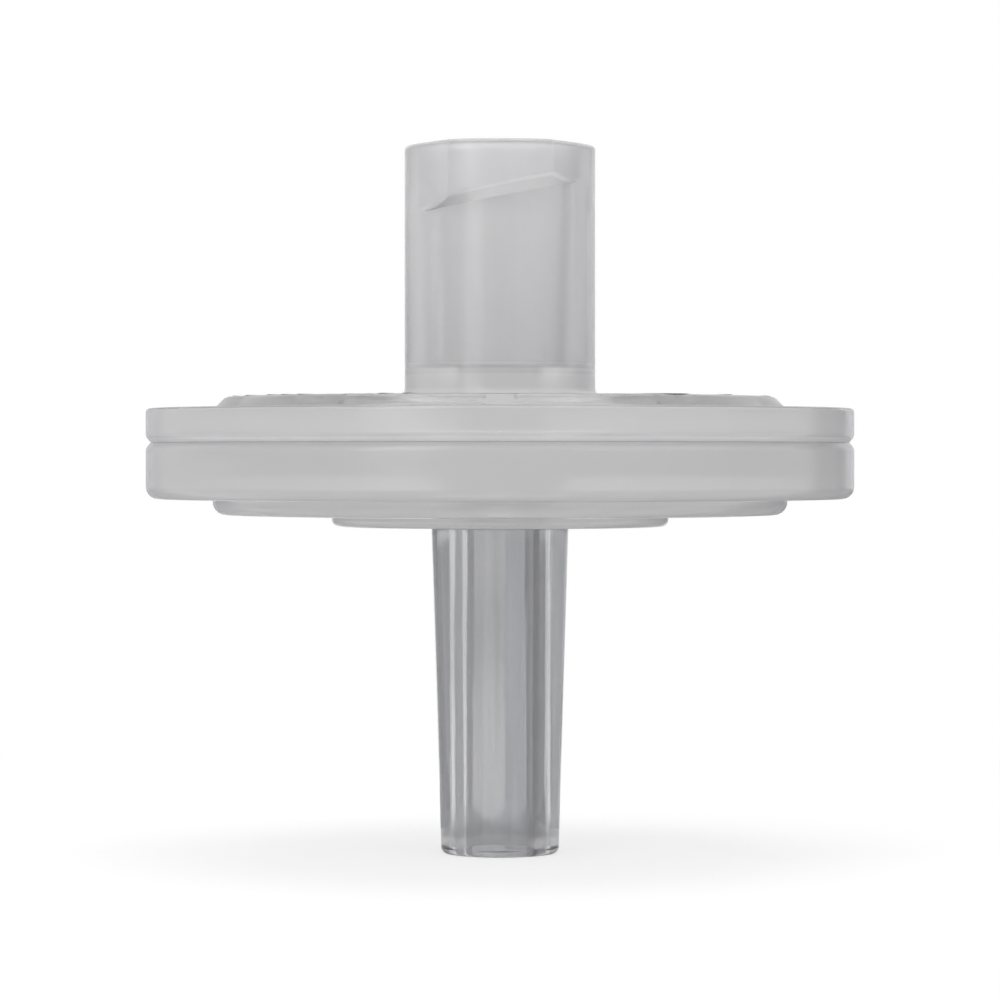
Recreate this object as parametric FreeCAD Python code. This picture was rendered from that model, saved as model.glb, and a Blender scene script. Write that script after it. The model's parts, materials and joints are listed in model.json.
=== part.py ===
import FreeCAD, Part
import math
import os

from FreeCAD import Rotation, Vector

# Syringe filter of the 25 mm class: two polypropylene mouldings welded at the rim with a
# membrane pinched between them. Millimetres, +Z up along the flow axis. The origin is the
# centre of the outlet's flat tip, which the filter stands on, with the inlet on top.

# Luer ports
luer_taper = 0.06  # change of diameter per unit of length
socket_mouth_diameter = 4.30
socket_depth = 7.5
inlet_tube_diameter = 6.48
inlet_tube_height = 8.5
inlet_throat_diameter = 2.0
outlet_tip_diameter = 3.99
outlet_length = 11.1
outlet_bore_diameter = 2.3

# Locking lugs on the inlet tube, cut from a right-hand thread with two starts
lug_count = 2
lug_span = 7.8
lug_tip_width = 3.5
lug_height = 1.5
lug_lead = 5.0
lug_flank_angle = 15.0

# Disc, from the boss round the outlet up to the raised face round the inlet
disc_diameter = 24.0
boss_diameter = 11.44
boss_height = 0.4
plate_diameter = 19.5
plate_height = 0.55
lower_rim_height = 1.9
upper_rim_height = 1.15
face_diameter = 19.4
face_height = 0.4
face_chamfer = 0.4
seam_notch_depth = 0.16
seam_notch_height = 0.4

# Roundings, each turned as one flat, or as two where it is large enough to show
large_rounding = 0.35
tip_rounding = 0.2
mouth_rounding = 0.1
tube_foot_rounding = 0.3
boss_rounding = 0.25
plate_rounding = 0.45
rim_rounding = 0.4
rim_top_rounding = 0.12

# Membrane and the space on each side of it
membrane_diameter = 22.0
membrane_thickness = 0.15
chamber_diameter = 19.0
inlet_depth = 0.7
drain_depth = 0.6
sump_diameter = 3.4

# Weld: a spigot of the upper moulding fills the lower one's pocket and clamps the membrane
spigot_diameter = 22.4
spigot_depth = 0.35
spigot_clearance = 0.05

# Rings of short ribs, broken by straight radial channels
channel_count = 8
channel_width = 0.78
rib_root = 0.2  # how far a rib runs into the wall that carries it
inlet_rib_width = 0.72
inlet_rib_height = 0.5
inlet_first_ring_radius = 4.65
inlet_ring_pitch = 1.18
inlet_ring_count = 3
drain_rib_width = 1.0
drain_first_ring_radius = 3.2
drain_ring_pitch = 2.2
drain_ring_count = 3

# Heights that follow from the sizes above
boss_bottom = outlet_length
plate_bottom = boss_bottom + boss_height
rim_bottom = plate_bottom + plate_height
seam = rim_bottom + lower_rim_height
rim_top = seam + upper_rim_height
face_top = rim_top + face_height
inlet_top = face_top + inlet_tube_height
membrane_top = seam - spigot_depth
membrane_bottom = membrane_top - membrane_thickness
ceiling = membrane_top + inlet_depth
floor = membrane_bottom - drain_depth
socket_floor = inlet_top - socket_depth

# Radii that follow from them
disc_radius = disc_diameter / 2
tube_radius = inlet_tube_diameter / 2
tip_radius = outlet_tip_diameter / 2
chamber_radius = chamber_diameter / 2
sump_radius = sump_diameter / 2
spigot_radius = spigot_diameter / 2
pocket_radius = spigot_radius + spigot_clearance
throat_radius = inlet_throat_diameter / 2

FLOW_AXIS = Vector(0, 0, 1)
ORIGIN = Vector(0, 0, 0)
MARGIN = 1.0  # how far a cutting tool runs past what it cuts


def polar(radius, angle, height):
    return Vector(radius * math.cos(angle), radius * math.sin(angle), height)


def corner_points(before, corner, after):
    """The corner of an outline: one sharp point, or the ends of the flats that round it."""
    apex = Vector(corner[0], 0, corner[1])
    if len(corner) == 2:
        return [apex]
    back = Vector(before[0], 0, before[1]) - apex
    ahead = Vector(after[0], 0, after[1]) - apex
    half_angle = back.getAngle(ahead) / 2
    setback = min(corner[2] / math.tan(half_angle), back.Length / 2, ahead.Length / 2)
    rounding = setback * math.tan(half_angle)
    back.normalize()
    ahead.normalize()
    ends = [apex + back * setback, apex + ahead * setback]
    if corner[2] >= large_rounding:
        inward = (back + ahead).normalize()
        ends.insert(1, apex + inward * (rounding / math.sin(half_angle) - rounding))
    return ends


def turned(*corners):
    """A solid turned about Z from a closed outline of (radius, height[, rounding]) corners."""
    count = len(corners)
    stops = []
    for i, corner in enumerate(corners):
        stops.append(corner_points(corners[i - 1], corner, corners[(i + 1) % count]))
    points = [point for stop in stops for point in stop]
    outline = Part.makePolygon(points + points[:1])
    return Part.Face(outline).revolve(ORIGIN, FLOW_AXIS, 360)


def rib(radius, middle, width, bottom, top):
    """One rib: a bar bent along its ring, with ends rounded by flats towards the channels."""
    half_gap = math.asin((channel_width + width) / 2 / radius)
    half_span = math.pi / channel_count - half_gap
    outer = radius + width / 2
    inner = radius - width / 2

    def bend(bar_radius, first, last):
        ends = polar(bar_radius, first, bottom), polar(bar_radius, last, bottom)
        return Part.Arc(ends[0], polar(bar_radius, middle, bottom), ends[1]).toShape()

    def end_cap(angle, from_radius, to_radius, along):
        centre = polar(radius, angle, bottom)
        first = centre + polar(width / 2, angle + along * math.pi / 3, 0)
        last = centre + polar(width / 2, angle + along * 2 * math.pi / 3, 0)
        near = polar(from_radius, angle, bottom)
        far = polar(to_radius, angle, bottom)
        between = [first, last] if from_radius > to_radius else [last, first]
        return Part.makePolygon([near, *between, far])

    outline = [
        bend(outer, middle - half_span, middle + half_span),
        end_cap(middle + half_span, outer, inner, 1),
        bend(inner, middle + half_span, middle - half_span),
        end_cap(middle - half_span, inner, outer, -1),
    ]
    return Part.Face(Part.Wire(outline)).extrude(Vector(0, 0, top - bottom))


def rib_field(first_radius, pitch, ring_count, width, bottom, top):
    """Every rib of one wall, ring by ring, with channels along X, along Y and between them."""
    ribs = []
    for ring in range(ring_count):
        for sector in range(channel_count):
            middle = (sector + 0.5) * 2 * math.pi / channel_count
            ribs.append(rib(first_radius + ring * pitch, middle, width, bottom, top))
    return ribs


def lug():
    """The lug on the -Y side: a slice of thread with flat flanks and a sloping underside."""
    lug_radius = lug_span / 2
    front = -math.pi / 2
    tip = math.asin(lug_tip_width / 2 / lug_radius)
    root = tip + math.acos(tube_radius / lug_radius)
    stock_bottom = inlet_top - 2 * lug_height
    left_tip = polar(lug_radius, front - tip, stock_bottom)
    right_tip = polar(lug_radius, front + tip, stock_bottom)
    left_root = polar(tube_radius, front - root, stock_bottom)
    right_root = polar(tube_radius, front + root, stock_bottom)
    outline = [
        Part.Arc(left_tip, polar(lug_radius, front, stock_bottom), right_tip).toShape(),
        Part.makeLine(right_tip, right_root),
        Part.makeLine(right_root, left_root),
        Part.makeLine(left_root, left_tip),
    ]
    stock = Part.Face(Part.Wire(outline)).extrude(Vector(0, 0, 2 * lug_height))
    helix_angle = math.degrees(math.atan(lug_lead / (math.pi * lug_span)))
    tool = Part.makeBox(2 * lug_span, 2 * lug_span, 2 * lug_height)
    tool.translate(Vector(-lug_span, -lug_span, -2 * lug_height))
    tilt = Rotation(Vector(0, 1, 0), -helix_angle) * Rotation(Vector(1, 0, 0), -lug_flank_angle)
    place = Vector(0, -lug_radius, inlet_top - lug_height)
    tool.Placement = FreeCAD.Placement(place, tilt) * tool.Placement
    return stock.cut(tool)


def lugs():
    """The lugs, evenly spaced round the mouth of the inlet."""
    copies = []
    for i in range(lug_count):
        copy = lug()
        copy.rotate(ORIGIN, FLOW_AXIS, i * 360 / lug_count)
        copies.append(copy)
    return copies


def make_inlet_housing():
    """Upper moulding: female Luer socket, its tube with lugs, face, rim, and ribbed ceiling."""
    notch_top = seam + seam_notch_height / 2
    notch_radius = disc_radius - seam_notch_depth
    outside = turned(
        (0, inlet_top),
        (0, membrane_top),
        (spigot_radius, membrane_top),
        (spigot_radius, seam),
        (notch_radius, seam),
        (disc_radius, notch_top),
        (disc_radius, rim_top, rim_top_rounding),
        (face_diameter / 2, rim_top),
        (face_diameter / 2 - face_chamfer, face_top),
        (tube_radius, face_top, tube_foot_rounding),
        (tube_radius, inlet_top, mouth_rounding),
    )
    mouth_radius = socket_mouth_diameter / 2
    socket_floor_radius = mouth_radius - socket_depth * luer_taper / 2
    passage = turned(
        (0, membrane_top),
        (throat_radius, membrane_top),
        (throat_radius, socket_floor),
        (socket_floor_radius, socket_floor),
        (mouth_radius - mouth_rounding * luer_taper / 2, inlet_top - mouth_rounding),
        (mouth_radius + mouth_rounding, inlet_top),
        (mouth_radius + mouth_rounding, inlet_top + MARGIN),
        (0, inlet_top + MARGIN),
    )
    chamber = turned(
        (0, membrane_top - MARGIN),
        (chamber_radius, membrane_top - MARGIN),
        (chamber_radius, ceiling),
        (0, ceiling),
    )
    ribs = rib_field(
        inlet_first_ring_radius,
        inlet_ring_pitch,
        inlet_ring_count,
        inlet_rib_width,
        ceiling - inlet_rib_height,
        ceiling + rib_root,
    )
    return outside.multiFuse(lugs()).cut(chamber).cut(passage).multiFuse(ribs).removeSplitter()


def make_outlet_housing():
    """Lower moulding: rim with the weld groove, membrane seat, drain ribs and male Luer."""
    notch_bottom = seam - seam_notch_height / 2
    notch_radius = disc_radius - seam_notch_depth
    tube_base_radius = tip_radius + outlet_length * luer_taper / 2
    bore_radius = outlet_bore_diameter / 2
    body = turned(
        (bore_radius, 0),
        (tip_radius, 0, tip_rounding),
        (tube_base_radius, boss_bottom),
        (boss_diameter / 2, boss_bottom, boss_rounding),
        (boss_diameter / 2, plate_bottom),
        (plate_diameter / 2, plate_bottom, plate_rounding),
        (plate_diameter / 2, rim_bottom),
        (disc_radius, rim_bottom, rim_rounding),
        (disc_radius, notch_bottom),
        (notch_radius, seam),
        (pocket_radius, seam),
        (pocket_radius, membrane_bottom),
        (chamber_radius, membrane_bottom),
        (chamber_radius, floor),
        (sump_radius, floor),
        (bore_radius, floor - sump_radius + bore_radius),
    )
    ribs = rib_field(
        drain_first_ring_radius,
        drain_ring_pitch,
        drain_ring_count,
        drain_rib_width,
        floor - rib_root,
        membrane_bottom,
    )
    return body.multiFuse(ribs).removeSplitter()


def make_membrane():
    """Flat disc of porous film, clamped round its edge and carried by the drain ribs."""
    return Part.makeCylinder(membrane_diameter / 2, membrane_thickness, Vector(0, 0, membrane_bottom))


def main():
    os.makedirs("parts", exist_ok=True)
    nodes = {
        "inlet_housing": make_inlet_housing(),
        "membrane": make_membrane(),
        "outlet_housing": make_outlet_housing(),
    }
    for name, shape in nodes.items():
        shape.exportStep(f"parts/{name}.step")
        print(f"{name}: {len(shape.Solids)} solid, {shape.Volume:.2f} mm3, valid {shape.isValid()}")


main()
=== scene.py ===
import json
import math

import bpy
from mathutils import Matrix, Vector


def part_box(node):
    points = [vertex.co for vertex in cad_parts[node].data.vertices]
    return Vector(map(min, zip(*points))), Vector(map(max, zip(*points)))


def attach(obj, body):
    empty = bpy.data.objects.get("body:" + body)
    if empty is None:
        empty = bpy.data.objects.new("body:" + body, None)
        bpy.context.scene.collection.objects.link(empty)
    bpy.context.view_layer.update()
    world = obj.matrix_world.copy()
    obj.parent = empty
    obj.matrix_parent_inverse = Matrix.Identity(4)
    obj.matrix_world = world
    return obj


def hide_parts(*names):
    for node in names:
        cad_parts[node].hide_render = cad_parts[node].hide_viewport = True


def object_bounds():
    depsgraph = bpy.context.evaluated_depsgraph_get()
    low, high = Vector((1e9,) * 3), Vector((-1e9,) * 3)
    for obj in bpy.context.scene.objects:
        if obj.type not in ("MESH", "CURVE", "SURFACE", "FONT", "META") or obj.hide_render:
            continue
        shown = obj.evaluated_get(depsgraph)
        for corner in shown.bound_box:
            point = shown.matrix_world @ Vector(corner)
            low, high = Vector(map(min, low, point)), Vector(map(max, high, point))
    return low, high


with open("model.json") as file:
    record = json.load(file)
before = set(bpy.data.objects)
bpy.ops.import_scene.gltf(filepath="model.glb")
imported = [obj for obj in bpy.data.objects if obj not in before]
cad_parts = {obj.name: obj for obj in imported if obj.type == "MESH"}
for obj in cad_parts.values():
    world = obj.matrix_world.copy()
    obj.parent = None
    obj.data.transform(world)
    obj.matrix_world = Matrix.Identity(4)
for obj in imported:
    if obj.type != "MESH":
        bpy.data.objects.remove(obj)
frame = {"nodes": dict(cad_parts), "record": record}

cad_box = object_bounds()

# ------------------------------------------------------------------ outlet moulding
# The lower half of the filter, one injection moulding of natural polypropylene: a long
# male Luer cone, polished by its mould, under a stepped disc with a milky satin skin.
# Ribs inside the disc carry the membrane, and the rim is welded to the upper moulding.

MM = 0.001
TURN_STEPS = 144
ROUNDING_STEPS = 5
CHANNELS = 8
CHANNEL_WIDTH = 0.78
RIB_ROOT = 0.2  # how far a rib runs into the wall that carries it
WELD_GAP = 0.004  # keeps welded faces apart, so that light crosses each of them once
MERGE_DISTANCE = 0.0005
SMOOTH_ANGLE = 32

outlet_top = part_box("outlet_housing")[1]
disc_radius = outlet_top[0] / MM
seam = outlet_top[2] / MM
film_bottom, film_top = (corner[2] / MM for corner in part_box("membrane"))
tip_radius = 1.995
cone_root_radius = 2.328
bore_radius = 1.15
sump_radius = 1.7
boss_bottom = 11.1
boss_radius = 5.72
plate_bottom = 11.5
plate_radius = 9.75
rim_bottom = 12.05
drain_floor = 12.85
chamber_radius = 9.5
pocket_radius = 11.25
notch_radius = disc_radius - 0.16
notch_half_height = 0.2


def select_only(piece):
    """Select one piece with nothing of its mesh selected."""
    if bpy.context.mode != "OBJECT":
        bpy.ops.object.mode_set(mode="OBJECT")
    bpy.ops.object.select_all(action="DESELECT")
    piece.select_set(True)
    bpy.context.view_layer.objects.active = piece
    bpy.ops.object.mode_set(mode="EDIT")
    bpy.ops.mesh.select_mode(type="VERT")
    bpy.ops.mesh.select_all(action="DESELECT")
    bpy.ops.object.mode_set(mode="OBJECT")


def edit_where(piece, kind, wanted):
    """Enter edit mode with the points or edges selected whose corners pass the test."""
    select_only(piece)
    points = piece.data.vertices
    for item in points if kind == "VERT" else piece.data.edges:
        corners = [item] if kind == "VERT" else [points[i] for i in item.vertices]
        item.select = wanted(*[corner.co for corner in corners])
    bpy.context.tool_settings.mesh_select_mode = (kind == "VERT", kind == "EDGE", False)
    bpy.ops.object.mode_set(mode="EDIT")


def edit_all(piece):
    """Enter edit mode with the whole mesh selected."""
    select_only(piece)
    bpy.ops.object.mode_set(mode="EDIT")
    bpy.ops.mesh.select_all(action="SELECT")


def close_skin(piece):
    """Merge what meets, point the faces outwards and shade the roundings smooth."""
    edit_all(piece)
    bpy.ops.mesh.remove_doubles(threshold=MERGE_DISTANCE)
    bpy.ops.mesh.normals_make_consistent(inside=False)
    bpy.ops.object.mode_set(mode="OBJECT")
    mesh = piece.data
    mesh.calc_loop_triangles()
    corners = ([mesh.vertices[i].co for i in face.vertices] for face in mesh.loop_triangles)
    if sum(a.dot(b.cross(c)) for a, b, c in corners) < 0:
        edit_all(piece)
        bpy.ops.mesh.flip_normals()
        bpy.ops.object.mode_set(mode="OBJECT")
    bpy.ops.object.shade_smooth_by_angle(angle=math.radians(SMOOTH_ANGLE))


def turned(name, corners):
    """A piece turned as on a lathe: its closed half-section is drawn corner by corner, as
    (radius, height, rounding) in millimetres, its corners are rounded, and it is spun."""
    bpy.ops.object.select_all(action="DESELECT")
    bpy.ops.mesh.primitive_plane_add(size=1, location=(0, 0, 0))
    piece = bpy.context.object
    piece.name = piece.data.name = name
    bpy.ops.object.mode_set(mode="EDIT")
    bpy.ops.mesh.merge(type="CENTER")
    bpy.ops.transform.translate(value=(corners[0][0], 0, corners[0][1]))
    for start, end in zip(corners, corners[1:]):
        step = (end[0] - start[0], 0, end[1] - start[1])
        bpy.ops.mesh.extrude_vertices_move(TRANSFORM_OT_translate={"value": step})
    bpy.ops.object.mode_set(mode="OBJECT")

    def at(spots):
        return lambda p: any(math.dist((p.x, p.z), spot[:2]) < 0.001 for spot in spots)

    edit_where(piece, "VERT", at([corners[0], corners[-1]]))
    bpy.ops.mesh.edge_face_add()
    for corner in corners:
        if corner[2]:
            edit_where(piece, "VERT", at([corner]))
            bpy.ops.mesh.bevel(offset=corner[2], segments=ROUNDING_STEPS, affect="VERTICES")
    edit_all(piece)
    bpy.ops.mesh.spin(steps=TURN_STEPS, angle=2 * math.pi, center=(0, 0, 0), axis=(0, 0, 1))
    close_skin(piece)
    return piece


def bent_block(name, inner, outer, bottom, top, half_angle, steps):
    """A block bent round the Z axis, centred on the -Y side."""
    bpy.ops.object.select_all(action="DESELECT")
    bpy.ops.mesh.primitive_plane_add(size=1, rotation=(math.pi / 2, 0, 0))
    block = bpy.context.object
    block.name = block.data.name = name
    block.scale = (outer - inner, top - bottom, 1)
    block.location = ((outer + inner) / 2, 0, (bottom + top) / 2)
    bpy.ops.object.transform_apply(location=True, rotation=True, scale=True)
    edit_all(block)
    bpy.ops.transform.rotate(
        value=math.pi / 2 - half_angle, orient_axis="Z", center_override=(0, 0, 0)
    )
    bpy.ops.mesh.spin(steps=steps, angle=2 * half_angle, center=(0, 0, 0), axis=(0, 0, 1))
    close_skin(block)
    return block


def rib_ring(name, radius, width, bottom, top, soft_height, softness):
    """A ring of ribs broken by straight channels. One rib is bent, its ends are rounded
    and its free edge is softened, then copies of it are set round the axis. At the free
    height the short edges are the rib's outline and the long ones lie across it."""
    half_angle = math.pi / CHANNELS - math.asin(CHANNEL_WIDTH / 2 / radius)
    end_rounding = 0.44 * width
    ring = bent_block(
        name, radius - width / 2, radius + width / 2, bottom, top, half_angle, steps=12
    )
    edit_where(
        ring,
        "EDGE",
        lambda p, q: abs(p.z - q.z) > 0.1 and abs(math.atan2(p.x, -p.y)) > 0.98 * half_angle,
    )
    bpy.ops.mesh.bevel(offset=end_rounding, segments=ROUNDING_STEPS, affect="EDGES")
    edit_where(
        ring,
        "EDGE",
        lambda p, q: max(abs(p.z - soft_height), abs(q.z - soft_height)) < 0.001
        and (p - q).length < 0.8 * width,
    )
    bpy.ops.mesh.bevel(offset=softness, segments=4, affect="EDGES")
    edit_all(ring)
    bpy.ops.transform.rotate(
        value=math.pi / CHANNELS, orient_axis="Z", center_override=(0, 0, 0)
    )
    bpy.ops.mesh.spin(
        steps=CHANNELS - 1,
        angle=2 * math.pi * (CHANNELS - 1) / CHANNELS,
        dupli=True,
        center=(0, 0, 0),
        axis=(0, 0, 1),
    )
    close_skin(ring)
    return ring


def fuse(piece, additions):
    """Make the additions one moulding with the piece."""
    for addition in additions:
        select_only(piece)
        bpy.ops.object.modifier_add(type="BOOLEAN")
        blend = piece.modifiers[-1]
        blend.operation = "UNION"
        blend.solver = "EXACT"
        blend.object = addition
        bpy.ops.object.modifier_apply(modifier=blend.name)
        bpy.data.objects.remove(addition)
    close_skin(piece)


def finish_piece(piece):
    """Keep the flats flat beside their roundings, and bring millimetres to metres."""
    select_only(piece)
    bpy.ops.object.modifier_add(type="WEIGHTED_NORMAL")
    piece.modifiers[-1].keep_sharp = True
    bpy.ops.object.modifier_apply(modifier=piece.modifiers[-1].name)
    piece.scale = (MM, MM, MM)
    bpy.ops.object.transform_apply(scale=True)


outlet = turned(
    "outlet_moulding",
    [
        (bore_radius, 0, 0.12),
        (tip_radius, 0, 0.2),
        (cone_root_radius, boss_bottom, 0.08),
        (boss_radius, boss_bottom, 0.25),
        (boss_radius, plate_bottom, 0.05),
        (plate_radius, plate_bottom, 0.45),
        (plate_radius, rim_bottom, 0.06),
        (disc_radius, rim_bottom, 0.4),
        (disc_radius, seam - notch_half_height, 0.09),
        (notch_radius, seam - WELD_GAP, 0),
        (pocket_radius, seam - WELD_GAP, 0),
        (pocket_radius, film_bottom - WELD_GAP, 0),
        (chamber_radius, film_bottom - WELD_GAP, 0.05),
        (chamber_radius, drain_floor, 0.1),
        (sump_radius, drain_floor, 0.15),
        (bore_radius, drain_floor - sump_radius + bore_radius, 0.1),
    ],
)
drain_rib_top = film_bottom - WELD_GAP
drain_ribs = [
    rib_ring(
        f"drain_ring_{i}",
        radius=3.2 + 2.2 * i,
        width=1.0,
        bottom=drain_floor - RIB_ROOT,
        top=drain_rib_top,
        soft_height=drain_rib_top,
        softness=0.12,
    )
    for i in range(3)
]
fuse(outlet, drain_ribs)
finish_piece(outlet)
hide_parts("outlet_housing")
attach(outlet, "root")

# ------------------------------------------------------------------ inlet moulding
# The upper half, the same polypropylene: a female Luer socket in a plain tube with two
# thread lugs at its mouth, on a flat face with a chamfered edge. Its spigot pinches the
# membrane, its ceiling has the inlet ribs, and its rim is welded on all round.

inlet_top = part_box("inlet_housing")[1][2] / MM
inlet_luer = next(m for m in frame["record"]["mounts"] if m["name"] == "inlet_luer")
mouth_radius = inlet_luer["dims"]["r_mm"]
mouth_flare = 0.05
luer_slope = 0.03  # a taper of 6 % on the diameter
socket_depth = inlet_luer["dims"]["length_mm"]
socket_floor = inlet_top - socket_depth
socket_floor_radius = mouth_radius - socket_depth * luer_slope
throat_radius = 1.0
tube_radius = 3.24
foot_levels = (16.25, 16.4375, 16.625)  # the tube grows milkier down to its solid foot
face_top = 15.5
face_flat_radius = 9.3
face_edge_radius = 9.7
rim_top = 15.1
ceiling = 14.3
inlet_rib_bottom = ceiling - 0.5
spigot_radius = 11.2

inlet = turned(
    "inlet_moulding",
    [
        (throat_radius, ceiling, 0.1),
        (chamber_radius, ceiling, 0.1),
        (chamber_radius, film_top + WELD_GAP, 0.05),
        (spigot_radius, film_top + WELD_GAP, 0),
        (spigot_radius, seam + WELD_GAP, 0),
        (notch_radius, seam + WELD_GAP, 0),
        (disc_radius, seam + notch_half_height, 0.09),
        (disc_radius, rim_top, 0.14),
        (face_edge_radius, rim_top, 0.08),
        (face_flat_radius, face_top, 0.12),
        (tube_radius, face_top, 0.3),
        *[(tube_radius, level, 0) for level in foot_levels],
        (tube_radius, inlet_top, 0.12),
        (mouth_radius + mouth_flare, inlet_top, 0.1),
        (socket_floor_radius, socket_floor, 0.12),
        (throat_radius, socket_floor, 0.1),
    ],
)


def turn_piece(piece, angle):
    """Turn a piece round the axis, anticlockwise from above, and apply it."""
    select_only(piece)
    piece.rotation_euler.z = angle
    bpy.ops.object.transform_apply(rotation=True)


def lug():
    """The lug on the -Y side: a bent block whose flanks leave the tube as tangents and
    whose underside slopes to the tube and climbs as a right-hand thread does."""
    lug_radius = 3.9
    root_radius = 2.75
    tip_half_width = 1.75
    thread_lead = 5.0
    edge_rounding = 0.1
    buried_radius = 3.2  # nearer the axis than this, the block lies in the tube's wall
    slope = math.radians(28)
    underside = inlet_top - 1.5
    tip_angle = math.asin(tip_half_width / lug_radius)
    root_angle = tip_angle + math.acos(tube_radius / lug_radius)
    block = bent_block(
        "lug", root_radius, lug_radius, underside, inlet_top, root_angle, steps=34
    )
    edit_where(
        block,
        "VERT",
        lambda p: p.z < underside + 0.1 and math.hypot(p.x, p.y) < root_radius + 0.1,
    )
    bpy.ops.transform.translate(value=(0, 0, (root_radius - lug_radius) * math.tan(slope)))
    helix = math.atan(thread_lead / (math.pi * 2 * lug_radius))
    edit_where(block, "VERT", lambda p: p.z < underside + 0.1)
    bpy.ops.transform.rotate(value=helix, orient_axis="Y", center_override=(0, 0, underside))
    for side in (-1, 1):
        outward = (side * math.sin(root_angle), -math.cos(root_angle), 0)
        edit_all(block)
        bpy.ops.mesh.bisect(
            plane_co=[tube_radius * step for step in outward],
            plane_no=outward,
            use_fill=True,
            clear_outer=True,
        )
    close_skin(block)

    # Only the sharp edges outside the tube are softened.
    select_only(block)
    bpy.ops.object.mode_set(mode="EDIT")
    bpy.context.tool_settings.mesh_select_mode = (False, True, False)
    bpy.ops.mesh.edges_select_sharp(sharpness=math.radians(25))
    bpy.ops.object.mode_set(mode="OBJECT")
    is_sharp = [edge.select for edge in block.data.edges]
    edit_where(
        block,
        "EDGE",
        lambda p, q: min(math.hypot(p.x, p.y), math.hypot(q.x, q.y)) > buried_radius,
    )
    bpy.ops.object.mode_set(mode="OBJECT")
    for edge, sharp in zip(block.data.edges, is_sharp):
        edge.select = edge.select and sharp
    bpy.ops.object.mode_set(mode="EDIT")
    bpy.ops.mesh.bevel(offset=edge_rounding, segments=3, affect="EDGES")
    close_skin(block)
    return block


lugs = [lug(), lug()]
turn_piece(lugs[1], math.pi)
inlet_ribs = [
    rib_ring(
        f"inlet_ring_{i}",
        radius=4.65 + 1.18 * i,
        width=0.72,
        bottom=inlet_rib_bottom,
        top=ceiling + RIB_ROOT,
        soft_height=inlet_rib_bottom,
        softness=0.27,
    )
    for i in range(3)
]
fuse(inlet, lugs + inlet_ribs)
finish_piece(inlet)
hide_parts("inlet_housing")
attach(inlet, "root")

# ------------------------------------------------------------------ plastic of the mouldings
# Natural polypropylene, straight from the mould. Crystals in it scatter light, so the disc
# and the socket are milky, and the thin walled cone is clearer and takes the mould's polish.
# Each skin below is this one plastic as it looks over a thicker or a thinner wall, and some are
# toned darker as painted shade.


def new_material(name):
    """A material with its node tree, its Principled shader and its Object coordinates."""
    material = bpy.data.materials.new(name)
    material.use_nodes = True
    tree = material.node_tree
    place = tree.nodes.new("ShaderNodeTexCoord").outputs["Object"]
    return material, tree, tree.nodes["Principled BSDF"], place


def group_tree(name, inputs, outputs):
    """A node group with named sockets, each given as (name, kind, value)."""
    group = bpy.data.node_groups.new(name, "ShaderNodeTree")
    for socket_name, kind, value in inputs:
        socket = group.interface.new_socket(socket_name, in_out="INPUT", socket_type=kind)
        if value is not None:
            socket.default_value = value
    for socket_name, kind in outputs:
        group.interface.new_socket(socket_name, in_out="OUTPUT", socket_type=kind)
    given = group.nodes.new("NodeGroupInput").outputs
    return group, given, group.nodes.new("NodeGroupOutput").inputs


def noise(tree, place, scale, detail=2.0, roughness=0.5):
    """A noise texture read at a place, giving its value socket."""
    node = tree.nodes.new("ShaderNodeTexNoise")
    node.inputs["Scale"].default_value = scale
    node.inputs["Detail"].default_value = detail
    node.inputs["Roughness"].default_value = roughness
    tree.links.new(place, node.inputs["Vector"])
    return node.outputs["Fac"]


def math_node(tree, operation, *values):
    """A maths node; each value is a number or a socket."""
    node = tree.nodes.new("ShaderNodeMath")
    node.operation = operation
    for socket, value in zip(node.inputs, values):
        if isinstance(value, bpy.types.NodeSocket):
            tree.links.new(value, socket)
        else:
            socket.default_value = value
    return node.outputs[0]


def stretched(tree, place, scale):
    """The place squeezed or drawn out along its axes."""
    node = tree.nodes.new("ShaderNodeMapping")
    node.inputs["Scale"].default_value = scale
    tree.links.new(place, node.inputs["Vector"])
    return node.outputs["Vector"]


moulded_skin, given, skin_out = group_tree(
    "moulded_skin",
    [
        ("Position", "NodeSocketVector", None),
        ("Tone", "NodeSocketColor", (0.6, 0.6, 0.6, 1)),
        ("Cloudiness", "NodeSocketFloat", 0.03),
        ("Roughness", "NodeSocketFloat", 0.3),
        ("Grain", "NodeSocketFloat", 1.0),
        ("Draw Lines", "NodeSocketFloat", 1.0),
    ],
    [
        ("Color", "NodeSocketColor"),
        ("Roughness", "NodeSocketFloat"),
        ("Height", "NodeSocketFloat"),
    ],
)
clouds = noise(moulded_skin, given["Position"], 420, 3)
grain = noise(moulded_skin, given["Position"], 9000, 2, 0.6)
along_the_draw = stretched(moulded_skin, given["Position"], (1, 1, 0.03))
draw_lines = noise(moulded_skin, along_the_draw, 2600, 2)
cloud_depth = math_node(moulded_skin, "MULTIPLY", clouds, given["Cloudiness"])
cloud_tone = math_node(moulded_skin, "SUBTRACT", cloud_depth, given["Cloudiness"])
streak = math_node(moulded_skin, "MULTIPLY_ADD", draw_lines, 0.3, -0.15)
streak_tone = math_node(moulded_skin, "MULTIPLY_ADD", streak, given["Draw Lines"], 1.0)
tone_level = math_node(moulded_skin, "ADD", streak_tone, cloud_tone)
toned = moulded_skin.nodes.new("ShaderNodeVectorMath")
toned.operation = "SCALE"
moulded_skin.links.new(given["Tone"], toned.inputs[0])
moulded_skin.links.new(tone_level, toned.inputs["Scale"])
moulded_skin.links.new(toned.outputs[0], skin_out["Color"])
lines = math_node(moulded_skin, "MULTIPLY", draw_lines, given["Draw Lines"])
specks = math_node(moulded_skin, "MULTIPLY", grain, given["Grain"])
skin_height = math_node(moulded_skin, "ADD", lines, specks)
moulded_skin.links.new(skin_height, skin_out["Height"])
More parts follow.
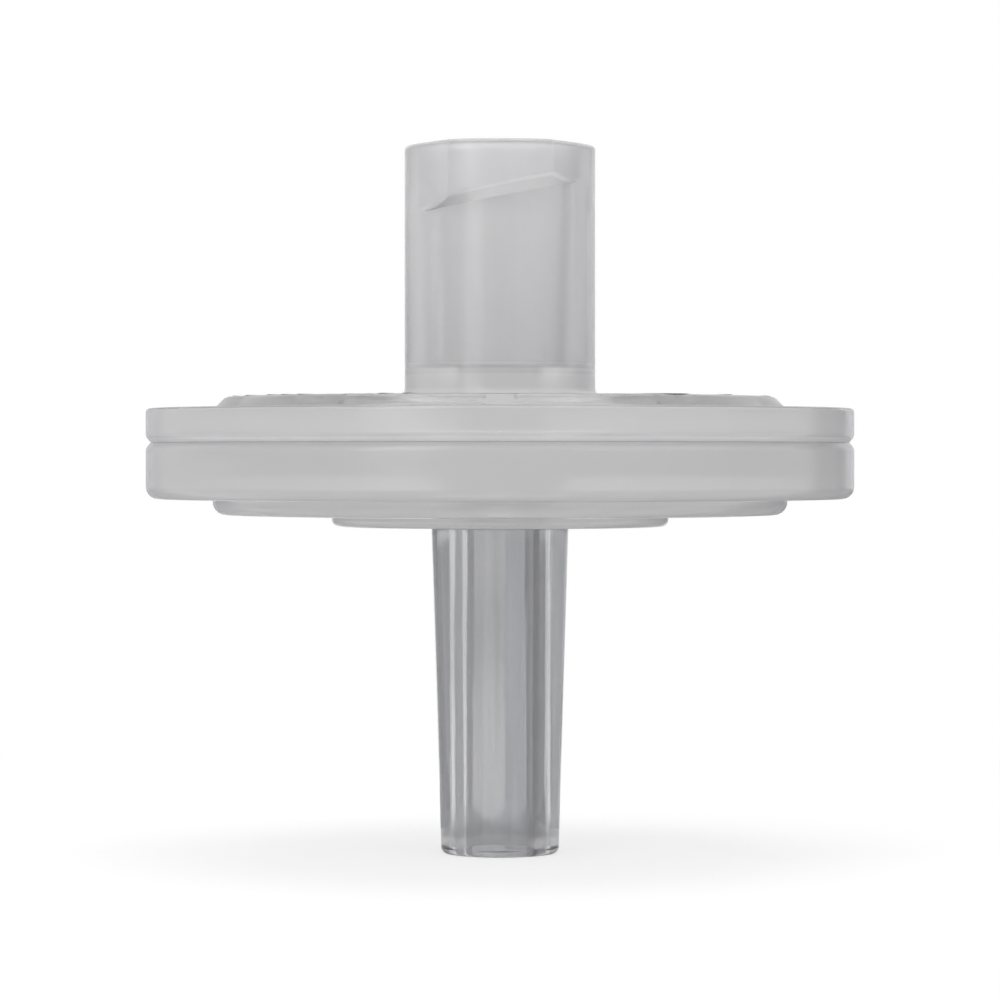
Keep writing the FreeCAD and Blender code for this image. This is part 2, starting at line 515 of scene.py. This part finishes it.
skin_gloss = math_node(
    moulded_skin,
    "MULTIPLY",
    given["Roughness"],
    math_node(moulded_skin, "MULTIPLY_ADD", skin_height, 0.35, 0.8),
)
moulded_skin.links.new(skin_gloss, skin_out["Roughness"])


def polypropylene(
    name,
    tone,
    clearness,
    roughness,
    grain_level=0.25,
    line_level=0.02,
    relief=2e-6,
):
    """Natural polypropylene as its mould left it, more or less clear and polished. The
    relief is in metres."""
    material, tree, shader, place = new_material(name)
    shader.inputs["IOR"].default_value = 1.49
    shader.inputs["Transmission Weight"].default_value = clearness
    skin = tree.nodes.new("ShaderNodeGroup")
    skin.node_tree = moulded_skin
    skin.inputs["Tone"].default_value = (*tone, 1)
    skin.inputs["Roughness"].default_value = roughness
    skin.inputs["Grain"].default_value = grain_level
    skin.inputs["Draw Lines"].default_value = line_level
    tree.links.new(place, skin.inputs["Position"])
    tree.links.new(skin.outputs["Color"], shader.inputs["Base Color"])
    tree.links.new(skin.outputs["Roughness"], shader.inputs["Roughness"])
    bump = tree.nodes.new("ShaderNodeBump")
    bump.inputs["Strength"].default_value = 0.6
    bump.inputs["Distance"].default_value = relief
    tree.links.new(skin.outputs["Height"], bump.inputs["Height"])
    tree.links.new(bump.outputs["Normal"], shader.inputs["Normal"])
    return material


milky = polypropylene("milky_polypropylene", (0.80, 0.793, 0.803), 0.64, 0.23, line_level=0.15)
face_skin = polypropylene("face_polypropylene", (0.78, 0.774, 0.777), 0.8, 0.17)
# The ring round the face, the flat of the mouth and the rim's wall are toned darker than the rest
# of the plastic: painted shade.
shaded_ring_skin = polypropylene("ring_polypropylene", (0.42, 0.417, 0.426), 0.5, 0.2)
shaded_mouth_skin = polypropylene("mouth_polypropylene", (0.5, 0.496, 0.505), 0.55, 0.22)
shaded_rim_skin = polypropylene("rim_polypropylene", (0.63, 0.624, 0.633), 0.4, 0.22)
satin = polypropylene("satin_polypropylene", (0.81, 0.804, 0.81), 0.5, 0.2)
frosted = polypropylene("frosted_polypropylene", (0.79, 0.783, 0.792), 0.42, 0.24)
hazy = polypropylene("hazy_polypropylene", (0.797, 0.79, 0.8), 0.57, 0.23)
hazier = polypropylene("hazier_polypropylene", (0.793, 0.786, 0.795), 0.49, 0.24)
# The cone's grey tone darkens the light through it: painted shade.
clear = polypropylene(
    "clear_polypropylene",
    (0.67, 0.672, 0.685),
    0.9,
    0.08,
    grain_level=0.02,
    line_level=1.0,
    relief=1.6e-5,
)
for piece, skins in (
    (inlet, (milky, face_skin, shaded_ring_skin, shaded_mouth_skin, shaded_rim_skin, hazy, hazier, frosted)),
    (outlet, (satin, clear, shaded_rim_skin, frosted)),
):
    for skin in skins:
        piece.data.materials.append(skin)


def skin_face(piece, skin, wanted):
    """Give a skin to the faces whose radius and height in millimetres pass the test."""
    slot = list(piece.data.materials).index(skin)
    for face in piece.data.polygons:
        radius, height = math.hypot(*face.center[:2]) / MM, face.center.z / MM
        if wanted(radius, height):
            face.material_index = slot


# Borders between the skins, set just past the corners of the mouldings. A later skin
# takes the place of an earlier one.
past_tube = 3.6
past_face = face_edge_radius + 0.02
past_cone = 2.42
past_throat = 2.1
under_rim_top = rim_top - 0.05
rim_wall = disc_radius - 0.2

# The raised face and the ceiling below it, then the ring round the face, with painted shade
skin_face(inlet, face_skin, lambda r, z: past_tube < r < past_face and z < face_top + 0.05)
skin_face(inlet, face_skin, lambda r, z: r < chamber_radius - 0.05 and z < ceiling + 0.02)
skin_face(inlet, shaded_ring_skin, lambda r, z: r > past_face and z > under_rim_top)

# The flat of the mouth and the rim's wall, both with painted shade, and the faces at the seam
skin_face(inlet, shaded_mouth_skin, lambda r, z: z > inlet_top - 0.01)
skin_face(inlet, shaded_rim_skin, lambda r, z: r > rim_wall and z < under_rim_top)
skin_face(inlet, frosted, lambda r, z: r > spigot_radius and z < 14.1)

# The foot of the tube in three steps, then the floor of the socket and the throat
skin_face(inlet, hazy, lambda r, z: 2.5 < r < past_tube and foot_levels[1] < z < foot_levels[2])
skin_face(inlet, hazier, lambda r, z: 2.5 < r < past_tube and foot_levels[0] < z < foot_levels[1])
skin_face(inlet, frosted, lambda r, z: r < past_tube and face_top < z < foot_levels[0])
skin_face(inlet, frosted, lambda r, z: r < past_throat and 14.45 < z < socket_floor + 0.05)

# The cone with its bore, and the underside and wall of the rim, both with painted shade, and the
# faces at the seam
skin_face(outlet, clear, lambda r, z: r < past_cone and z < boss_bottom + 0.09)
skin_face(outlet, shaded_rim_skin, lambda r, z: r > 9.8 and z < 12.5 or r > rim_wall)
skin_face(outlet, frosted, lambda r, z: spigot_radius < r < rim_wall and z > 13.4)

# ------------------------------------------------------------------ membrane
# A disc of opaque white porous film, punched from a roll and laid on the drain ribs. The spigot
# squeezes its edge, where the film closes up and turns translucent; the dark grey it is given
# there is painted shade.

film = frame["nodes"]["membrane"]
porous_film, tree, shader, place = new_material("porous_film")
fibres = noise(tree, place, 5200, 6, 0.7)
spread = noise(tree, place, 700, 2)
flat_place = tree.nodes.new("ShaderNodeSeparateXYZ")
tree.links.new(place, flat_place.inputs["Vector"])
from_axis = math_node(
    tree,
    "SQRT",
    math_node(
        tree,
        "ADD",
        math_node(tree, "POWER", math_node(tree, "ABSOLUTE", flat_place.outputs["X"]), 2),
        math_node(tree, "POWER", math_node(tree, "ABSOLUTE", flat_place.outputs["Y"]), 2),
    ),
)

# Where the edge is pinched the film closes up, and its dark grey there is painted shade.
pinched = tree.nodes.new("ShaderNodeMapRange")
pinched.interpolation_type = "SMOOTHSTEP"
pinched.inputs["From Min"].default_value = (chamber_radius - 0.1) * MM
pinched.inputs["From Max"].default_value = (chamber_radius + 0.1) * MM
tree.links.new(from_axis, pinched.inputs["Value"])
film_tone = tree.nodes.new("ShaderNodeMix")
film_tone.data_type = "RGBA"
film_tone.inputs["A"].default_value = (0.86, 0.86, 0.86, 1)
film_tone.inputs["B"].default_value = (0.18, 0.19, 0.2, 1)
tree.links.new(pinched.outputs[0], film_tone.inputs["Factor"])

# Past the outermost drain rib nothing backs the film; the film is darker there, which is painted
# shade.
film_shade = tree.nodes.new("ShaderNodeVectorMath")
film_shade.operation = "SCALE"
tree.links.new(film_tone.outputs["Result"], film_shade.inputs[0])
film_painted_shade_past_ribs = tree.nodes.new("ShaderNodeMapRange")
film_painted_shade_past_ribs.interpolation_type = "SMOOTHSTEP"
film_painted_shade_past_ribs.inputs["From Min"].default_value = 7.5 * MM
film_painted_shade_past_ribs.inputs["From Max"].default_value = 8.0 * MM
film_painted_shade_past_ribs.inputs["To Min"].default_value = 1.0
film_painted_shade_past_ribs.inputs["To Max"].default_value = 0.84
tree.links.new(from_axis, film_painted_shade_past_ribs.inputs["Value"])
mottling = math_node(tree, "MULTIPLY_ADD", math_node(tree, "MULTIPLY", fibres, spread), 0.2, 0.94)
tree.links.new(
    math_node(tree, "MULTIPLY", mottling, film_painted_shade_past_ribs.outputs[0]), film_shade.inputs["Scale"]
)
tree.links.new(film_shade.outputs[0], shader.inputs["Base Color"])
tree.links.new(
    math_node(tree, "SUBTRACT", 0.9, math_node(tree, "MULTIPLY", pinched.outputs[0], 0.45)),
    shader.inputs["Roughness"],
)
film_bump = tree.nodes.new("ShaderNodeBump")
film_bump.inputs["Strength"].default_value = 0.5
film_bump.inputs["Distance"].default_value = 8e-6
tree.links.new(fibres, film_bump.inputs["Height"])
tree.links.new(film_bump.outputs["Normal"], shader.inputs["Normal"])
film.data.materials.clear()
film.data.materials.append(porous_film)

# ------------------------------------------------------------------ print
# A ring of plain marks pad printed in black ink on the inlet face: a graduated arc, and
# across from it a ring mark and a row of bars. The ink stands a few microns proud.

INK_BOTTOM = face_top + 0.002
INK_TOP = face_top + 0.014
BAND_INNER = 7.3
BAND_MIDDLE = 8.25
BAND_OUTER = 9.2
BAR_WIDTH = 0.27
DOT_RADIUS = 0.42
RING_MARK_ANGLE = 38
MARK_PITCH = 5.2  # degrees from one mark to the next


def printed_arc(inner, outer, middle, half_angle):
    """A printed patch between two radii; angles in degrees, 0 towards -Y."""
    steps = max(2, round(half_angle))
    patch = bent_block(
        "printed_arc", inner, outer, INK_BOTTOM, INK_TOP, math.radians(half_angle), steps
    )
    turn_piece(patch, math.radians(middle))
    return patch


def printed_bar(width, inner, outer, middle):
    """A printed bar of even width that points at the axis."""
    bpy.ops.object.select_all(action="DESELECT")
    bpy.ops.mesh.primitive_plane_add(size=1)
    bar = bpy.context.object
    bar.scale = (width, outer - inner, 1)
    bar.location = (0, -(inner + outer) / 2, INK_BOTTOM)
    bpy.ops.object.transform_apply(location=True, rotation=True, scale=True)
    edit_all(bar)
    bpy.ops.mesh.bevel(offset=0.06, segments=3, affect="VERTICES")
    bpy.ops.mesh.select_all(action="SELECT")
    bpy.ops.mesh.extrude_region_move(
        TRANSFORM_OT_translate={"value": (0, 0, INK_TOP - INK_BOTTOM)}
    )
    close_skin(bar)
    turn_piece(bar, math.radians(middle))
    return bar


def printed_dot(radius, at_radius, middle, hole=0.0):
    """A printed dot, or a ring where it has a hole."""
    bpy.ops.object.select_all(action="DESELECT")
    bpy.ops.mesh.primitive_circle_add(
        vertices=32, radius=radius, fill_type="NGON", location=(0, -at_radius, INK_BOTTOM)
    )
    dot = bpy.context.object
    bpy.ops.object.transform_apply(location=True, rotation=True, scale=True)
    edit_all(dot)
    if hole:
        bpy.ops.mesh.inset(thickness=radius - hole)
        bpy.ops.mesh.delete(type="FACE")
        bpy.ops.mesh.select_all(action="SELECT")
    bpy.ops.mesh.extrude_region_move(
        TRANSFORM_OT_translate={"value": (0, 0, INK_TOP - INK_BOTTOM)}
    )
    close_skin(dot)
    turn_piece(dot, math.radians(middle))
    return dot


# The graduated arc
marks = []
for step in range(28):
    middle = 200.5 + MARK_PITCH * step
    if step % 7 == 3:
        marks.append(printed_dot(DOT_RADIUS, BAND_MIDDLE, middle))
    elif step % 7 in (0, 6):
        marks.append(printed_bar(BAR_WIDTH, BAND_INNER, BAND_OUTER, middle))
    else:
        outer = BAND_OUTER - 0.55 * (step % 2)
        marks.append(printed_bar(BAR_WIDTH, BAND_INNER + 0.55, outer, middle))

# The ring mark and the row of bars
marks.append(printed_dot(1.05, BAND_MIDDLE, RING_MARK_ANGLE, hole=0.86))
marks.append(printed_dot(DOT_RADIUS, BAND_MIDDLE, RING_MARK_ANGLE))
for step in range(19):
    middle = 55 + MARK_PITCH * step
    if step % 5 == 2:
        marks.append(printed_arc(8.12, 8.38, middle, 2.4))
    elif step % 5 in (0, 4):
        marks.append(printed_bar(BAR_WIDTH, BAND_INNER, BAND_OUTER, middle))
    else:
        marks.append(printed_bar(BAR_WIDTH, BAND_INNER + 0.5, BAND_OUTER - 0.5, middle))

bpy.ops.object.select_all(action="DESELECT")
for mark in marks:
    mark.select_set(True)
bpy.context.view_layer.objects.active = marks[0]
bpy.ops.object.join()
print_ring = marks[0]
print_ring.name = print_ring.data.name = "print_ring"
print_ring.scale = (MM, MM, MM)
bpy.ops.object.transform_apply(scale=True)
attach(print_ring, "root")

black_ink, tree, shader, place = new_material("black_ink")
mottle = noise(tree, place, 3200, 3, 0.6)
pinholes = noise(tree, place, 14000, 2)
ink_tone = tree.nodes.new("ShaderNodeMix")
ink_tone.data_type = "RGBA"
ink_tone.inputs["A"].default_value = (0.006, 0.006, 0.007, 1)
ink_tone.inputs["B"].default_value = (0.022, 0.022, 0.024, 1)
tree.links.new(mottle, ink_tone.inputs["Factor"])
tree.links.new(ink_tone.outputs["Result"], shader.inputs["Base Color"])
tree.links.new(math_node(tree, "MULTIPLY_ADD", mottle, 0.3, 0.3), shader.inputs["Roughness"])
shader.inputs["Specular IOR Level"].default_value = 0.1
ink_bump = tree.nodes.new("ShaderNodeBump")
ink_bump.inputs["Strength"].default_value = 0.3
ink_bump.inputs["Distance"].default_value = 3e-6
tree.links.new(pinholes, ink_bump.inputs["Height"])
tree.links.new(ink_bump.outputs["Normal"], shader.inputs["Normal"])
print_ring.data.materials.append(black_ink)

# ------------------------------------------------------------------ floor and backdrop
# The filter stands on its outlet tip on a white matt sweep, which turns to the backdrop's
# even white away from the part, so that only the shadow round the tip shows.

bpy.ops.object.select_all(action="DESELECT")
bpy.ops.mesh.primitive_circle_add(
    vertices=96, radius=3, fill_type="NGON", location=(0, 0, cad_box[0][2])
)
floor = bpy.context.object
floor.name = floor.data.name = "floor"
white_sweep, tree, shader, place = new_material("white_sweep")
shader.inputs["Roughness"].default_value = 0.85
paper = noise(tree, place, 900, 4)
paper_tone = tree.nodes.new("ShaderNodeMix")
paper_tone.data_type = "RGBA"
paper_tone.inputs["A"].default_value = (0.9, 0.9, 0.9, 1)
paper_tone.inputs["B"].default_value = (0.93, 0.93, 0.93, 1)
tree.links.new(paper, paper_tone.inputs["Factor"])
tree.links.new(paper_tone.outputs["Result"], shader.inputs["Base Color"])
length = tree.nodes.new("ShaderNodeVectorMath")
length.operation = "LENGTH"
tree.links.new(place, length.inputs[0])
away = tree.nodes.new("ShaderNodeMapRange")
away.interpolation_type = "SMOOTHSTEP"
away.inputs["From Min"].default_value = 0.012
away.inputs["From Max"].default_value = 0.05
away.inputs["To Min"].default_value = 0.7
tree.links.new(length.outputs["Value"], away.inputs["Value"])
white = tree.nodes.new("ShaderNodeEmission")
seen = tree.nodes.new("ShaderNodeLightPath")
turn_white = tree.nodes.new("ShaderNodeMixShader")
tree.links.new(
    math_node(tree, "MULTIPLY", seen.outputs["Is Camera Ray"], away.outputs[0]),
    turn_white.inputs[0],
)
tree.links.new(shader.outputs[0], turn_white.inputs[1])
tree.links.new(white.outputs[0], turn_white.inputs[2])
tree.links.new(turn_white.outputs[0], tree.nodes["Material Output"].inputs["Surface"])
floor.data.materials.append(white_sweep)

# The backdrop is full white to the eye and in the plastic, and lights the part a little less.
world = bpy.data.worlds.new("white_studio")
bpy.context.scene.world = world
world.use_nodes = True
tree = world.node_tree
background = tree.nodes["Background"]
background.inputs["Color"].default_value = (1, 1, 1, 1)
seen = tree.nodes.new("ShaderNodeLightPath")
direct = math_node(
    tree,
    "MAXIMUM",
    math_node(tree, "MAXIMUM", seen.outputs["Is Camera Ray"], seen.outputs["Is Glossy Ray"]),
    seen.outputs["Is Transmission Ray"],
)
tree.links.new(
    math_node(tree, "MULTIPLY_ADD", direct, 0.26, 0.74), background.inputs["Strength"]
)

# ------------------------------------------------------------------ lamps and camera
# A soft key to the front left, a broad fill to the front right and a light above. Grey
# cards beside and behind the part give the clear cone its dark lines and the tube its shade.
# The camera looks level at the side, from far enough away that the form stays true.

PART_MIDDLE = 0.012
LAMP_DISTANCE = 0.40


def softbox(name, azimuth, elevation, width, height, power):
    """A rectangular soft lamp that faces the part."""
    turn, rise = math.radians(azimuth), math.radians(elevation)
    away = (
        math.sin(turn) * math.cos(rise),
        -math.cos(turn) * math.cos(rise),
        math.sin(rise),
    )
    bpy.ops.object.light_add(type="AREA", location=[LAMP_DISTANCE * step for step in away])
    lamp = bpy.context.object
    lamp.name = lamp.data.name = name
    lamp.location.z += PART_MIDDLE
    lamp.rotation_euler = (math.pi / 2 - rise, 0, turn)
    lamp.data.shape = "RECTANGLE"
    lamp.data.size = width
    lamp.data.size_y = height
    lamp.data.energy = power


softbox("key_lamp", -33, 29, width=0.16, height=0.42, power=0.42)
softbox("fill_lamp", 50, 32, width=0.44, height=0.46, power=0.3)
softbox("top_lamp", 180, 82, width=0.30, height=0.30, power=0.75)

CARD_FOOT = 0.0002  # just clear of the floor
CARD_SPLIT = 0.0112  # where the cone ends and the disc begins
CARD_TOP = 0.026


def flag(name, azimuth, width, bottom, top, tone):
    """A grey card beside the part that only reflections and refracted light see. One that
    stands on the floor also covers the floor between it and the part."""
    turn = math.radians(azimuth)
    distance, cover = 0.028, 0.021
    bpy.ops.object.select_all(action="DESELECT")
    bpy.ops.mesh.primitive_plane_add(size=1)
    card = bpy.context.object
    card.name = card.data.name = name
    card.scale = (width, top - bottom, 1)
    bpy.ops.object.transform_apply(scale=True)
    card.rotation_euler = (math.pi / 2, 0, turn)
    card.location = (
        distance * math.sin(turn),
        -distance * math.cos(turn),
        (top + bottom) / 2,
    )
    bpy.ops.object.transform_apply(location=True, rotation=True)
    if bottom == CARD_FOOT:
        inwards = (-cover * math.sin(turn), cover * math.cos(turn), 0)
        edit_where(card, "EDGE", lambda p, q: max(p.z, q.z) < 0.001)
        bpy.ops.mesh.extrude_edges_move(TRANSFORM_OT_translate={"value": inwards})
        bpy.ops.object.mode_set(mode="OBJECT")
    card.visible_camera = False
    card.visible_diffuse = False
    card.visible_shadow = False
    cloth, tree, shader, place = new_material(name + "_cloth")
    shader.inputs["Roughness"].default_value = 0.9
    weave = tree.nodes.new("ShaderNodeMix")
    weave.data_type = "RGBA"
    weave.inputs["A"].default_value = (0.97 * tone, 0.98 * tone, 1.01 * tone, 1)
    weave.inputs["B"].default_value = (1.03 * tone, 1.04 * tone, 1.07 * tone, 1)
    tree.links.new(noise(tree, place, 900, 2), weave.inputs["Factor"])
    tree.links.new(weave.outputs["Result"], shader.inputs["Base Color"])
    card.data.materials.append(cloth)


flag("flag_right", 112, 0.014, CARD_FOOT, CARD_TOP, 0.16)
flag("flag_back_right", 141, 0.016, CARD_FOOT, CARD_SPLIT, 0.28)
flag("flag_upper_right", 141, 0.016, CARD_SPLIT, CARD_TOP, 0.68)
flag("flag_back_left", 224, 0.020, CARD_FOOT, CARD_SPLIT, 0.45)
flag("flag_behind", 168, 0.009, CARD_FOOT, CARD_SPLIT, 0.7)
flag("flag_upper_left", 224, 0.020, CARD_SPLIT, CARD_TOP, 0.6)

scene = bpy.context.scene
scene.view_settings.view_transform = "Standard"
camera_distance = 0.140
camera_height = 0.0135
picture_width = 0.034
tilt = math.atan((camera_height - PART_MIDDLE) / camera_distance)
bpy.ops.object.camera_add(location=(0, -camera_distance, camera_height))
camera = bpy.context.object
camera.name = camera.data.name = "camera"
camera.rotation_euler = (math.pi / 2 - tilt, 0, 0)
camera.data.lens = camera.data.sensor_width * camera_distance / picture_width
scene.camera = camera
